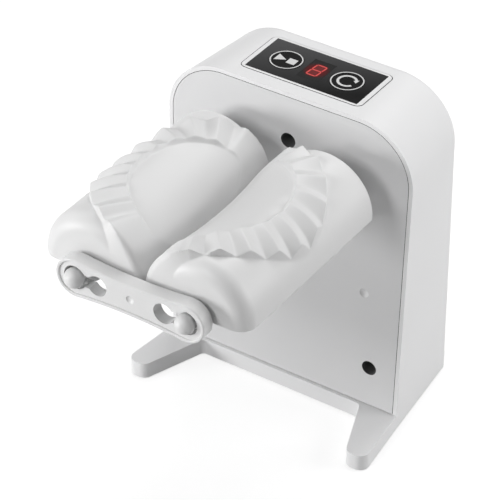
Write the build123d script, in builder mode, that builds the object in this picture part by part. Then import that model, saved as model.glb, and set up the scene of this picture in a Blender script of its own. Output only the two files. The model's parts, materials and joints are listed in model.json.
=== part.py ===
from build123d import *
import os
from math import acos, cos, pi, radians, sin, sqrt, tan

os.makedirs("parts", exist_ok=True)

# Housing, measured from the floor and from its front face
housing_width = 150.0
housing_top = 190.3
depth_at_top = 54.2
depth_at_floor = 66.3
shoulder_radius = 33.5
side_draft = 0.0117
rear_narrowing = 5.9
rear_edge_radius = 4.2
mouth_wall = 2.3
shell_wall = 3.2
panel_thickness = 2.6
seam_gap = 0.15
panel_seam = 0.3
rear_rim = 6.5
rear_ledge = 2.0

# Base with its front feet
base_top = 10.6
rail_reach = 2.0
pad_proud = 0.8
base_floor = 3.0
base_rim = 4.2
foot_reach = 40.0
foot_tip_width = 12.0
foot_root_width = 22.4
foot_splay = 4.2
foot_tip_radius = 5.6
foot_root_fillet = 3.0
pad_radius = 4.6
pad_thickness = 1.6
rear_pad_inset = 13.8
boss_height = 16.0
boss_wall = 1.0
boss_bite = 0.6
base_screw_depths = (14.0, 50.0)

# Moulds: half barrels that turn on two axes
axis_half_spacing = 32.65
axis_drop = 43.5
mould_rear = -16.0
mould_front = -132.0
barrel_radius = 28.2
flat_drop = 2.2
dome_radius = 9.0
mould_wall = 3.4
bowl_wall = 2.8
nip_gap = 0.6
spine_radius = 8.5
rib_thickness = 2.4
rib_count = 2

# Crimp band and bowl, as angles round the mould from the nip side
band_start = 12.0
band_sweep = 146.0
band_half_length = 57.5
band_lean = 110.0
bowl_sweep = 97.0
bowl_half_length = 43.0
bowl_lean = 100.0
bowl_lip = 5.0
bowl_overrun = 20.0
bowl_floor_radius = 27.0
bowl_floor_rise = 1.6
groove_count = 19
groove_depth = 2.2
groove_half_width = 2.7

# Ball stubs and the link bar
stub_radius = 3.0
ball_radius = 5.4
ball_front = -142.0
bar_gap = 3.0
bar_thickness = 7.6
bar_rim_height = 1.0
bar_rim_width = 1.8
bar_end_radius = 11.0
bar_waist_angle = radians(6.5)
bar_edge_radius = 0.7
bar_dimple_radius = 2.3
keyhole_offset = 19.5
keyhole_radius = 5.7
slot_gap = 0.35
seat_radius = 6.6
seat_gap = 0.4

# Drive: shafts, gears and bushes
shaft_radius = 5.0
shaft_hex_flats = 8.4
shaft_hex_length = 26.0
hex_gap = 0.15
running_gap = 0.05
hub_radius = 12.0
hub_gap = 0.8
bush_radius = 8.0
bush_flange_radius = 9.6
bush_flange = 0.8
drive_teeth = 24
idler_teeth = 14
gear_width = 6.0
gear_side_gap = 0.2
gear_backlash = 0.16
addendum_share = 0.85
dedendum_share = 1.15
pressure_angle = radians(20.0)
idler_pin_radius = 2.0
frame_thickness = 2.6
frame_width = 118.0
frame_height = 60.0
frame_drop = 6.8
frame_corner = 6.0
frame_post_radius = 3.4
upper_post_offset = 54.0
upper_post_rise = 7.2
lower_post_offset = 40.0
lower_post_drop = 34.8
pinion_angle = radians(-120.0)

# Motor
gearbox_radius = 18.5
gearbox_length = 18.0
gearbox_rim = 2.0
motor_radius = 13.8
motor_length = 22.5
motor_shaft_radius = 3.0
motor_shaft_tail = 8.0
motor_screw_circle = 14.0
motor_screw_grip = 4.5
motor_screw_hole = 6.0

# Control panel on top
bezel_width = 73.8
bezel_depth = 35.8
bezel_center = 26.3
bezel_corner = 4.0
bezel_proud = 0.2
bezel_gap = 0.4
bezel_flange = 1.8
bezel_side_lip = 0.6
bezel_end_lip = 2.0
label_width = 67.6
label_depth = 32.0
label_thickness = 0.8
label_gap = 0.1
button_offset = 18.5
button_radius = 9.1
button_gap = 0.2
button_flange_radius = 10.2
button_flange = 1.0
button_proud = 0.2
button_travel = 0.5
switch_margin = 0.1
display_width = 12.8
display_depth = 19.0
display_height = 8.0
board_width = 72.0
board_depth = 28.0
board_thickness = 1.6
board_drop = 6.8
switch_size = 6.0
switch_height = 3.6
plunger_radius = 1.75

# Screws
screw_radius = 1.5
screw_head_radius = 2.8
screw_head = 1.8
screw_gap = 0.2
panel_cup_radius = 6.2
panel_cup_bore = 4.4
panel_cup_depth = 9.0
panel_cup_floor = 2.0
top_screw_drop = 28.7
low_screw_offset = 54.6
low_screw_height = 35.7
dimple_offset = 49.3
dimple_height = 83.8
dimple_radius = 2.8
dimple_depth = 1.0
cover_post_radius = 4.2
screw_slot = 0.6

# Battery and charging
cell_radius = 9.1
cell_length = 65.0
cell_gap = 0.4
tray_wall = 1.6
tray_floor = 1.6
tray_height = 14.0
tray_front = 14.0
port_width = 9.0
port_height = 3.2
port_length = 7.2
port_level = 36.0
port_wall = 0.4
tongue_width = 6.0
tongue_height = 0.7
charge_board_width = 26.0
charge_board_depth = 16.0

# Rear lug
lug_width = 21.0
lug_height = 15.0
lug_reach = 5.5
lug_corner = 5.0
lug_taper = 14.0

# The front face stands where the whole object is centred on the origin
front_reach = -ball_front + ball_radius
panel_y = (front_reach - depth_at_floor) / 2
rear_slope = (depth_at_floor - depth_at_top) / housing_top
half_width = housing_width / 2
axis_height = housing_top - axis_drop
top_screw_height = housing_top - top_screw_drop
mould_mid = (mould_front + mould_rear) / 2
band_radius = axis_half_spacing - nip_gap / 2
gear_module = 2 * axis_half_spacing / (drive_teeth + 2 * idler_teeth)
drive_pitch_radius = gear_module * drive_teeth / 2
idler_pitch_radius = gear_module * idler_teeth / 2
gear_front = panel_thickness + bush_flange + gear_side_gap
frame_front = gear_front + gear_width + gear_side_gap + bush_flange
frame_rear = frame_front + frame_thickness
pinion_x = axis_half_spacing + (drive_pitch_radius + idler_pitch_radius) * cos(pinion_angle)
pinion_z = axis_height + (drive_pitch_radius + idler_pitch_radius) * sin(pinion_angle)
bar_back = mould_front - bar_gap
plate_front = bar_back - bar_thickness + bar_rim_height
seat_floor = ball_front + ball_radius + seat_gap
bar_waist_run = axis_half_spacing - bar_end_radius * sin(bar_waist_angle)
bar_waist_half = bar_end_radius * cos(bar_waist_angle) - bar_waist_run * tan(bar_waist_angle / 2)
dimple_sphere = (dimple_radius**2 + dimple_depth**2) / (2 * dimple_depth)
bar_dimple_sphere = (bar_dimple_radius**2 + dimple_depth**2) / (2 * dimple_depth)
boss_radius = screw_head_radius + boss_wall
front_half_low = half_width - (housing_top - base_top) * side_draft
rear_half_low = half_width - rear_narrowing - housing_top * side_draft
sides = (-1, 1)
side_words = ((-1, "left"), (1, "right"))


def upright(depth):
    """Plane that faces the front, at a depth behind the housing's front face."""
    return Plane.XZ.offset(-(panel_y + depth))


def level(height):
    """Horizontal plane at a height above the floor, with its origin on the front face."""
    return Plane(origin=(0, panel_y, height), x_dir=(1, 0, 0), z_dir=(0, 0, 1))


def rear_plane(inset):
    """Leaning plane of the rear face, moved forward by an inset, origin at the housing's top."""
    start = (0, panel_y + depth_at_top - inset * sqrt(1 + rear_slope**2), housing_top)
    return Plane(origin=start, x_dir=(-1, 0, 0), z_dir=(0, 1, rear_slope))


def arch(half_top, inset, height):
    """Rounded-top outline that narrows downward, with its top at the origin."""
    half_low = half_top - height * side_draft
    with BuildSketch() as outline:
        with BuildLine():
            Polyline(
                (-half_low + inset, -height),
                (-half_top + inset, -inset),
                (half_top - inset, -inset),
                (half_low - inset, -height),
                close=True,
            )
        make_face()
        fillet(outline.vertices().group_by(Axis.Y)[-1], shoulder_radius - inset)
    return outline.sketch


def front_arch(inset, bottom):
    """The arch as it stands on the front face."""
    return Location((0, housing_top)) * arch(half_width, inset, housing_top - bottom)


def rear_arch(inset, bottom):
    """The arch as it stands on the leaning rear face."""
    slant = (housing_top - bottom) * sqrt(1 + rear_slope**2)
    return arch(half_width - rear_narrowing, inset, slant)


def gear_outline(teeth, phase):
    """Involute teeth with backlash, one of them centred on the phase angle."""
    pitch_radius = gear_module * teeth / 2
    base_radius = pitch_radius * cos(pressure_angle)
    tip_radius = pitch_radius + addendum_share * gear_module
    root_radius = pitch_radius - dedendum_share * gear_module
    half_tooth = pi / (2 * teeth) - gear_backlash / (2 * pitch_radius)
    at_pitch = tan(pressure_angle) - pressure_angle
    points = []
    for tooth in range(teeth):
        middle = phase + 2 * pi * tooth / teeth
        flank = []
        for step in range(4):
            radius = max(root_radius, base_radius)
            radius = radius + (tip_radius - radius) * step / 3
            roll = acos(min(1.0, base_radius / radius))
            flank.append((radius, half_tooth + at_pitch - (tan(roll) - roll)))
        flank.insert(0, (root_radius, flank[0][1]))
        points += [(r * cos(middle - a), r * sin(middle - a)) for r, a in flank]
        points += [(r * cos(middle + a), r * sin(middle + a)) for r, a in reversed(flank)]
    with BuildSketch() as outline:
        with BuildLine():
            Polyline(*points, close=True)
        make_face()
    return outline.sketch


def meshing_phase(teeth, direction, neighbour_teeth, neighbour_phase):
    """Phase of a gear that lies in a direction from its neighbour and meshes with it."""
    offset = neighbour_teeth * (direction - neighbour_phase) / (2 * pi)
    return direction + pi - (0.5 - offset) * 2 * pi / teeth


def band_points(sweep, half_length, lean, count):
    """Half-ellipse round the mould, seen flat along the leaning direction."""
    points = []
    for step in range(count + 1):
        turn = pi * (step / count - 0.5)
        angle = band_start + sweep * cos(turn)
        points.append((band_radius * sin(radians(angle - lean)), half_length * sin(turn)))
    return points


def bar_outline(inset):
    """Waisted outline of the link bar, moved inward by an inset and centred between the axes."""
    radius = bar_end_radius - inset
    join_x = axis_half_spacing - radius * sin(bar_waist_angle)
    join_z = radius * cos(bar_waist_angle)
    waist = bar_waist_half - inset
    tip = axis_half_spacing + radius
    with BuildSketch() as outline:
        with BuildLine():
            ThreePointArc((-join_x, join_z), (0, waist), (join_x, join_z))
            ThreePointArc((join_x, join_z), (tip, 0), (join_x, -join_z))
            ThreePointArc((join_x, -join_z), (0, -waist), (-join_x, -join_z))
            ThreePointArc((-join_x, -join_z), (-tip, 0), (-join_x, join_z))
        make_face()
    return outline.sketch


def mould_plane(angle):
    """Plane through the right mould's axis that faces the angle, counted from the nip."""
    facing = (-cos(radians(angle)), 0, sin(radians(angle)))
    return Plane(
        origin=(axis_half_spacing, panel_y + mould_mid, axis_height),
        x_dir=(sin(radians(angle)), 0, cos(radians(angle))),
        z_dir=facing,
    )


def on_mould(angle, along, radius):
    """Point of the right mould at an angle from the nip, a place along it and a radius."""
    return Vector(
        axis_half_spacing - radius * cos(radians(angle)),
        panel_y + mould_mid + along,
        axis_height + radius * sin(radians(angle)),
    )


pieces = {}

# Housing shell: a rounded tube with a seat for the panel in front and for the cover behind
with BuildPart() as housing_cavity:
    with BuildSketch(upright(0)):
        add(front_arch(shell_wall, 0))
    with BuildSketch(rear_plane(panel_thickness + rear_ledge)):
        add(rear_arch(shell_wall, 0))
    loft(ruled=True)

with BuildPart() as housing_shell:
    with BuildSketch(upright(0)):
        add(front_arch(0, base_top))
    with BuildSketch(rear_plane(0)):
        add(rear_arch(0, base_top))
    loft(ruled=True)
    rear_face = housing_shell.faces().sort_by(Axis.Y)[-1]
    fillet(rear_face.edges().sort_by(Axis.Z)[1:], rear_edge_radius)
    add(housing_cavity.part, mode=Mode.SUBTRACT)
    with BuildSketch(upright(0)):
        add(front_arch(mouth_wall, 0))
    extrude(amount=-panel_thickness, mode=Mode.SUBTRACT)
    with BuildSketch(rear_plane(0)):
        add(rear_arch(rear_rim, 0))
    extrude(amount=-panel_thickness, mode=Mode.SUBTRACT)
    with BuildSketch(rear_plane(0)):
        add(rear_arch(rear_rim + rear_ledge, 0))
    extrude(amount=-2 * panel_thickness - rear_ledge, mode=Mode.SUBTRACT)
    with BuildSketch(level(housing_top)):
        with Locations((0, bezel_center)):
            RectangleRounded(bezel_width, bezel_depth, bezel_corner)
    extrude(amount=2 * shell_wall, both=True, mode=Mode.SUBTRACT)

# Base: a shallow tray whose front corners run out into two splayed feet
foot_pad_place = (front_half_low + foot_splay - foot_tip_width / 2, foot_tip_width / 2 - foot_reach)
rear_pad_place = (rear_half_low - rear_pad_inset, depth_at_floor - rear_pad_inset)
pad_places = [(side * x, y) for side in sides for x, y in (foot_pad_place, rear_pad_place)]
boss_edge = front_half_low - shell_wall + boss_bite - boss_radius
base_screw_places = [
    (side * (boss_edge - rear_narrowing * depth / depth_at_floor), depth)
    for side in sides
    for depth in base_screw_depths
]
with BuildPart() as base_plate:
    with BuildSketch(level(pad_proud)) as base_outline:
        with BuildLine():
            Polyline(
                (-front_half_low, 0),
                (front_half_low, 0),
                (rear_half_low, depth_at_floor),
                (-rear_half_low, depth_at_floor),
                close=True,
            )
        make_face()
        fillet(base_outline.vertices().group_by(Axis.Y)[-1], rear_edge_radius)
        with Locations((0, -rail_reach / 2)):
            Rectangle(2 * front_half_low - foot_root_width, rail_reach)
        for side in sides:
            with BuildLine():
                Polyline(
                    (side * front_half_low, 0),
                    (side * (front_half_low + foot_splay), -foot_reach),
                    (side * (front_half_low + foot_splay - foot_tip_width), -foot_reach),
                    (side * (front_half_low - foot_root_width), 0),
                    close=True,
                )
            make_face()
        fillet(base_outline.vertices().group_by(Axis.Y)[0], foot_tip_radius)
        root_reach = front_half_low - foot_root_width + foot_root_fillet
        inner_corners = base_outline.vertices().filter_by_position(Axis.X, -root_reach, root_reach)
        fillet(inner_corners, foot_root_fillet)
    extrude(amount=base_top - pad_proud)
    with BuildSketch(level(base_top)):
        with BuildLine():
            Polyline(
                (base_rim - front_half_low, base_rim),
                (front_half_low - base_rim, base_rim),
                (rear_half_low - base_rim, depth_at_floor - base_rim),
                (base_rim - rear_half_low, depth_at_floor - base_rim),
                close=True,
            )
        make_face()
    extrude(amount=-(base_top - pad_proud - base_floor), mode=Mode.SUBTRACT)
    with BuildSketch(level(pad_proud)):
        with Locations(*pad_places):
            Circle(pad_radius)
    extrude(amount=pad_thickness - pad_proud, mode=Mode.SUBTRACT)
    with BuildSketch(level(pad_proud + base_floor)):
        with Locations(*base_screw_places):
            Circle(boss_radius)
    extrude(amount=base_top - pad_proud - base_floor)
    with BuildSketch(level(pad_proud)):
        with Locations(*base_screw_places):
            Circle(screw_radius + screw_gap)
    extrude(amount=base_top, mode=Mode.SUBTRACT)
    with BuildSketch(level(pad_proud)):
        with Locations(*base_screw_places):
            Circle(screw_head_radius + screw_gap)
    extrude(amount=screw_head + screw_gap, mode=Mode.SUBTRACT)
pieces["base_plate"] = base_plate

# Rubber pads under the feet and the rear corners
with BuildPart() as foot_pads:
    with BuildSketch(level(0)):
        with Locations(*pad_places):
            Circle(pad_radius)
    extrude(amount=pad_thickness)
pieces["foot_pads"] = foot_pads

# Screws from below into bosses that stand on the base and belong to the shell
with BuildPart() as base_screws:
    with BuildSketch(level(pad_proud + screw_gap)):
        with Locations(*base_screw_places):
            Circle(screw_head_radius)
    extrude(amount=screw_head)
    with BuildSketch(level(pad_proud + screw_gap + screw_head)):
        with Locations(*base_screw_places):
            Circle(screw_radius)
    extrude(amount=base_top - pad_proud)
pieces["base_screws"] = base_screws

# The shell gets its four bosses over the base screws
with BuildPart() as shell_with_bosses:
    add(housing_shell.part)
    with BuildSketch(level(base_top)):
        with Locations(*base_screw_places):
            Circle(boss_radius)
    extrude(amount=boss_height)
    with BuildSketch(level(base_top)):
        with Locations(*base_screw_places):
            Circle(screw_radius + running_gap)
    extrude(amount=boss_height - boss_wall, mode=Mode.SUBTRACT)
pieces["housing_shell"] = shell_with_bosses

# Front panel, with cups for its three screws, two bush seats and two shallow dimples
low_screws_at = [(side * low_screw_offset, low_screw_height) for side in sides]
panel_screws_at = [(0, top_screw_height), *low_screws_at]
axis_places = [(side * axis_half_spacing, axis_height) for side in sides]
upper_posts_at = [(side * upper_post_offset, axis_height + upper_post_rise) for side in sides]
lower_posts_at = [(side * lower_post_offset, axis_height - lower_post_drop) for side in sides]
frame_posts_at = upper_posts_at + lower_posts_at
idler_places = [(side * idler_pitch_radius, axis_height) for side in sides]
with BuildPart() as front_panel:
    with BuildSketch(upright(0)):
        add(front_arch(mouth_wall + panel_seam, base_top + panel_seam))
    extrude(amount=-panel_thickness)
    with BuildSketch(upright(0)):
        with Locations(*panel_screws_at):
            Circle(panel_cup_radius)
    extrude(amount=-(panel_cup_depth + panel_cup_floor))
    with BuildSketch(upright(0)):
        with Locations(*panel_screws_at):
            Circle(panel_cup_bore)
    extrude(amount=-panel_cup_depth, mode=Mode.SUBTRACT)
    with BuildSketch(upright(0)):
        with Locations(*panel_screws_at):
            Circle(screw_radius + screw_gap)
    extrude(amount=-2 * panel_cup_depth, mode=Mode.SUBTRACT)
    with BuildSketch(upright(panel_thickness)):
        with Locations(*frame_posts_at):
            Circle(frame_post_radius)
    extrude(amount=-(frame_front - panel_thickness))
    with BuildSketch(upright(frame_front)):
        with Locations(*frame_posts_at):
            Circle(screw_radius + running_gap)
    extrude(amount=frame_front - panel_thickness, mode=Mode.SUBTRACT)
    with BuildSketch(upright(0)):
        with Locations(*axis_places):
            Circle(bush_radius)
    extrude(amount=-panel_thickness, mode=Mode.SUBTRACT)
    dimple_center = panel_y + dimple_depth - dimple_sphere
    with Locations(*[(side * dimple_offset, dimple_center, dimple_height) for side in sides]):
        Sphere(dimple_sphere, mode=Mode.SUBTRACT)
pieces["front_panel"] = front_panel

# Rear cover: carries the three long posts that the panel screws pull on, the port and the lug
with BuildPart() as cover_posts:
    with BuildSketch(upright(panel_cup_depth + panel_cup_floor)):
        with Locations(*panel_screws_at):
            Circle(cover_post_radius)
    extrude(amount=-depth_at_floor)
    with BuildSketch(rear_plane(panel_thickness / 2)):
        Rectangle(3 * housing_width, 3 * housing_top)
    extrude(amount=depth_at_floor, mode=Mode.SUBTRACT)

with BuildPart() as rear_cover:
    with BuildSketch(rear_plane(0)):
        add(rear_arch(rear_rim + seam_gap, base_top + 2 * seam_gap))
    extrude(amount=-panel_thickness)
    add(cover_posts.part)
    with BuildSketch(upright(panel_cup_depth + panel_cup_floor)):
        with Locations(*panel_screws_at):
            Circle(screw_radius + running_gap)
    extrude(amount=-2 * panel_cup_depth, mode=Mode.SUBTRACT)
    with BuildSketch(rear_plane(0)):
        with Locations((0, -rear_rim - lug_height / 2)):
            RectangleRounded(lug_width, lug_height, lug_corner)
    extrude(amount=lug_reach, taper=lug_taper)
    with BuildSketch(upright(0)):
        with Locations((0, port_level)):
            SlotOverall(port_width + 2 * seam_gap, port_height + 2 * seam_gap)
    extrude(amount=-2 * depth_at_floor, mode=Mode.SUBTRACT)
pieces["rear_cover"] = rear_cover

# Three long screws at the bottom of the panel's cups
with BuildPart() as panel_screws:
    with BuildSketch(upright(panel_cup_depth)):
        with Locations(*panel_screws_at):
            Circle(screw_head_radius)
    extrude(amount=screw_head)
    with BuildSketch(upright(panel_cup_depth)):
        with Locations(*panel_screws_at):
            Circle(screw_radius)
    extrude(amount=-panel_cup_depth - panel_cup_floor)
    with BuildSketch(upright(panel_cup_depth - screw_head)):
        with Locations(*panel_screws_at):
            Rectangle(2 * screw_radius, screw_slot)
            Rectangle(screw_slot, 2 * screw_radius)
    extrude(amount=-screw_head / 2, mode=Mode.SUBTRACT)
pieces["panel_screws"] = panel_screws

# Bushes in the panel and in the gear frame
for side, word in side_words:
    with BuildPart() as front_bush:
        with BuildSketch(upright(0)):
            with Locations((side * axis_half_spacing, axis_height)):
                Circle(bush_radius)
        extrude(amount=-panel_thickness - bush_flange)
        with BuildSketch(upright(panel_thickness)):
            with Locations((side * axis_half_spacing, axis_height)):
                Circle(bush_flange_radius)
        extrude(amount=-bush_flange)
        with BuildSketch(upright(0)):
            with Locations((side * axis_half_spacing, axis_height)):
                Circle(shaft_radius + running_gap)
        extrude(amount=-panel_thickness - bush_flange, mode=Mode.SUBTRACT)
    pieces[f"front_bush_{word}"] = front_bush
    with BuildPart() as rear_bush:
        with BuildSketch(upright(frame_front - bush_flange)):
            with Locations((side * axis_half_spacing, axis_height)):
                Circle(bush_flange_radius)
        extrude(amount=-bush_flange)
        with BuildSketch(upright(frame_front)):
            with Locations((side * axis_half_spacing, axis_height)):
                Circle(bush_radius)
        extrude(amount=-frame_thickness)
        with BuildSketch(upright(frame_front - bush_flange)):
            with Locations((side * axis_half_spacing, axis_height)):
                Circle(shaft_radius + running_gap)
        extrude(amount=-frame_thickness - bush_flange, mode=Mode.SUBTRACT)
    pieces[f"rear_bush_{word}"] = rear_bush

# Gear frame: the plate behind the gears, which also holds the motor
motor_screws_at = [
    (pinion_x + motor_screw_circle * cos(turn), pinion_z + motor_screw_circle * sin(turn))
    for turn in (pinion_angle - pi / 2, pinion_angle + pi / 2)
]
with BuildPart() as gear_frame:
    with BuildSketch(upright(frame_front)):
        with Locations((0, axis_height - frame_drop)):
            RectangleRounded(frame_width, frame_height, frame_corner)
        with Locations((pinion_x, pinion_z)):
            Circle(gearbox_radius + gearbox_rim)
    extrude(amount=-frame_thickness)
    with BuildSketch(upright(frame_front)):
        with Locations(*axis_places):
            Circle(bush_radius)
        with Locations((pinion_x, pinion_z)):
            Circle(motor_shaft_radius + screw_gap)
        with Locations((0, top_screw_height)):
            Circle(panel_cup_radius + 2 * screw_gap)
        with Locations(*frame_posts_at, *motor_screws_at):
            Circle(screw_radius + screw_gap)
        with Locations(*idler_places):
            Circle(idler_pin_radius)
    extrude(amount=-frame_thickness, mode=Mode.SUBTRACT)
pieces["gear_frame"] = gear_frame

with BuildPart() as idler_pins:
    with BuildSketch(upright(panel_thickness)):
        with Locations(*idler_places):
            Circle(idler_pin_radius)
    extrude(amount=-(frame_rear - panel_thickness))
pieces["idler_pins"] = idler_pins

with BuildPart() as frame_screws:
    with BuildSketch(upright(frame_rear)):
        with Locations(*frame_posts_at):
            Circle(screw_head_radius)
    extrude(amount=-screw_head)
    with BuildSketch(upright(frame_rear)):
        with Locations(*frame_posts_at):
            Circle(screw_radius)
    extrude(amount=frame_rear - panel_thickness)
pieces["frame_screws"] = frame_screws

# Gear train: motor pinion, right drive gear, two idlers, left drive gear
right_phase = pi / drive_teeth
pinion_phase = meshing_phase(idler_teeth, pinion_angle, drive_teeth, right_phase)
idler_right_phase = meshing_phase(idler_teeth, pi, drive_teeth, right_phase)
idler_left_phase = meshing_phase(idler_teeth, pi, idler_teeth, idler_right_phase)
left_phase = meshing_phase(drive_teeth, pi, idler_teeth, idler_left_phase)
gears = (
    ("drive_gear_right", drive_teeth, right_phase, (axis_half_spacing, axis_height), shaft_radius),
    ("drive_gear_left", drive_teeth, left_phase, (-axis_half_spacing, axis_height), shaft_radius),
    ("idler_gear_right", idler_teeth, idler_right_phase, idler_places[1], idler_pin_radius + running_gap),
    ("idler_gear_left", idler_teeth, idler_left_phase, idler_places[0], idler_pin_radius + running_gap),
    ("motor_pinion", idler_teeth, pinion_phase, (pinion_x, pinion_z), motor_shaft_radius),
)
for name, teeth, phase, place, bore in gears:
    with BuildPart() as gear:
        with BuildSketch(upright(gear_front)):
            with Locations(place):
                add(gear_outline(teeth, phase))
        extrude(amount=-gear_width)
        with BuildSketch(upright(gear_front)):
            with Locations(place):
                Circle(bore)
        extrude(amount=-gear_width, mode=Mode.SUBTRACT)
    pieces[name] = gear

# Gearbox and motor behind the frame, with the output shaft through it
with BuildPart() as motor_gearbox:
    with BuildSketch(upright(frame_rear)):
        with Locations((pinion_x, pinion_z)):
            Circle(gearbox_radius)
    extrude(amount=-gearbox_length)
    with BuildSketch(upright(frame_rear)):
        with Locations((pinion_x, pinion_z)):
            Circle(motor_shaft_radius + running_gap)
    extrude(amount=-(motor_shaft_tail + hub_gap), mode=Mode.SUBTRACT)
    with BuildSketch(upright(frame_rear)):
        with Locations(*motor_screws_at):
            Circle(screw_radius)
    extrude(amount=-motor_screw_hole, mode=Mode.SUBTRACT)
pieces["motor_gearbox"] = motor_gearbox

with BuildPart() as motor:
    with BuildSketch(upright(frame_rear + gearbox_length)):
        with Locations((pinion_x, pinion_z)):
            Circle(motor_radius)
    extrude(amount=-motor_length)
pieces["motor"] = motor

with BuildPart() as motor_shaft:
    with BuildSketch(upright(gear_front)):
        with Locations((pinion_x, pinion_z)):
            Circle(motor_shaft_radius)
    extrude(amount=-(frame_rear - gear_front + motor_shaft_tail))
pieces["motor_shaft"] = motor_shaft

with BuildPart() as motor_screws:
    with BuildSketch(upright(frame_front)):
        with Locations(*motor_screws_at):
            Circle(screw_head_radius)
    extrude(amount=screw_head)
    with BuildSketch(upright(frame_front)):
        with Locations(*motor_screws_at):
            Circle(screw_radius)
    extrude(amount=-(frame_thickness + motor_screw_grip))
pieces["motor_screws"] = motor_screws

# Drive shafts: round in the bushes, six-sided in front where the moulds push on
for side, word in side_words:
    with BuildPart() as drive_shaft:
        with BuildSketch(upright(frame_rear)):
            with Locations((side * axis_half_spacing, axis_height)):
                Circle(shaft_radius)
        extrude(amount=frame_rear + hub_gap)
        with BuildSketch(upright(-hub_gap)):
            with Locations((side * axis_half_spacing, axis_height)):
                RegularPolygon(shaft_hex_flats / 2, 6, major_radius=False)
        extrude(amount=shaft_hex_length)
    pieces[f"drive_shaft_{word}"] = drive_shaft

# Mould: helper solids for the raised crimp band, the bowl and the grooves
with BuildPart() as crimp_band:
    with BuildSketch(upright(mould_rear)):
        with Locations((axis_half_spacing, axis_height)):
            Circle(band_radius)
        with Locations((axis_half_spacing, axis_height - flat_drop + band_radius)):
            Rectangle(4 * band_radius, 2 * band_radius, mode=Mode.INTERSECT)
    extrude(amount=mould_rear - mould_front)
    edge = band_points(band_sweep, band_half_length, band_lean, 12)
    with BuildSketch(mould_plane(band_lean)):
        with BuildLine():
            Spline(*edge, tangents=((1, 0), (-1, 0)))
            Line(edge[0], (-2 * band_radius, edge[0][1]))
            Line(edge[-1], (-2 * band_radius, edge[-1][1]))
            Line((-2 * band_radius, edge[0][1]), (-2 * band_radius, edge[-1][1]))
        make_face()
    extrude(amount=2 * band_radius, both=True, mode=Mode.INTERSECT)

with BuildPart() as bowl_cutter:
    lip_plane = mould_plane(bowl_lip)
    edge_radius = bowl_floor_radius + bowl_floor_rise
    with BuildSketch(Plane(origin=lip_plane.origin, x_dir=(0, 1, 0), z_dir=lip_plane.x_dir)):
        with BuildLine():
            ThreePointArc(
                (-bowl_half_length, edge_radius), (0, bowl_floor_radius), (bowl_half_length, edge_radius)
            )
            Polyline(
                (bowl_half_length, edge_radius),
                (bowl_half_length, 2 * band_radius),
                (-bowl_half_length, 2 * band_radius),
                (-bowl_half_length, edge_radius),
            )
        make_face()
    revolve(axis=Axis(lip_plane.origin, (0, 1, 0)), revolution_arc=bowl_sweep + bowl_overrun)
    edge = band_points(bowl_sweep, bowl_half_length, bowl_lean, 10)
    with BuildSketch(mould_plane(bowl_lean)):
        with BuildLine():
            Spline(*edge, tangents=((1, 0), (-1, 0)))
            Line(edge[0], (-2 * band_radius, edge[0][1]))
            Line(edge[-1], (-2 * band_radius, edge[-1][1]))
            Line((-2 * band_radius, edge[0][1]), (-2 * band_radius, edge[-1][1]))
        make_face()
    extrude(amount=2 * band_radius, both=True, mode=Mode.INTERSECT)

# Each wedge runs straight from the bowl's edge to the band's edge, raised so that its ends stay shallow
groove_cutters = []
for number in range(groove_count):
    turn = pi * ((number + 0.5) / groove_count - 0.5)
    angle_in = band_start + bowl_sweep * cos(turn)
    angle_out = band_start + band_sweep * cos(turn)
    angle_mid = (angle_in + angle_out) / 2
    raised = band_radius * (1 + (1 - cos(radians(angle_out - angle_mid))) / 2)
    inner = on_mould(angle_in, bowl_half_length * sin(turn), raised)
    outer = on_mould(angle_out, band_half_length * sin(turn), raised)
    run = outer - inner
    outward = on_mould(angle_mid, 0, 1) - on_mould(angle_mid, 0, 0)
    across = outward.cross(run).normalized()
    with BuildPart() as groove:
        start = inner - run.normalized() * groove_half_width
        with BuildSketch(Plane(origin=start, x_dir=across, z_dir=run.normalized())):
            with BuildLine():
                Polyline(
                    (-2 * groove_half_width, groove_depth),
                    (0, -groove_depth),
                    (2 * groove_half_width, groove_depth),
                    close=True,
                )
            make_face()
        extrude(amount=run.length + 2 * groove_half_width)
    groove_cutters.append(groove.part)

# Right mould, open underneath, with ribs and a spine inside
hollow_radius = bowl_floor_radius - bowl_wall
with BuildPart() as mould_hollow:
    with BuildSketch(upright(mould_rear - mould_wall)):
        with Locations((axis_half_spacing, axis_height)):
            Circle(hollow_radius)
            Circle(spine_radius, mode=Mode.SUBTRACT)
    extrude(amount=mould_rear - mould_front - 2 * mould_wall)
    for rib in range(rib_count):
        rib_place = mould_rear + (mould_front - mould_rear) * (rib + 1) / (rib_count + 1)
        with BuildSketch(upright(rib_place)):
            with Locations((axis_half_spacing, axis_height)):
                Circle(hollow_radius)
        extrude(amount=rib_thickness / 2, both=True, mode=Mode.SUBTRACT)

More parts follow.
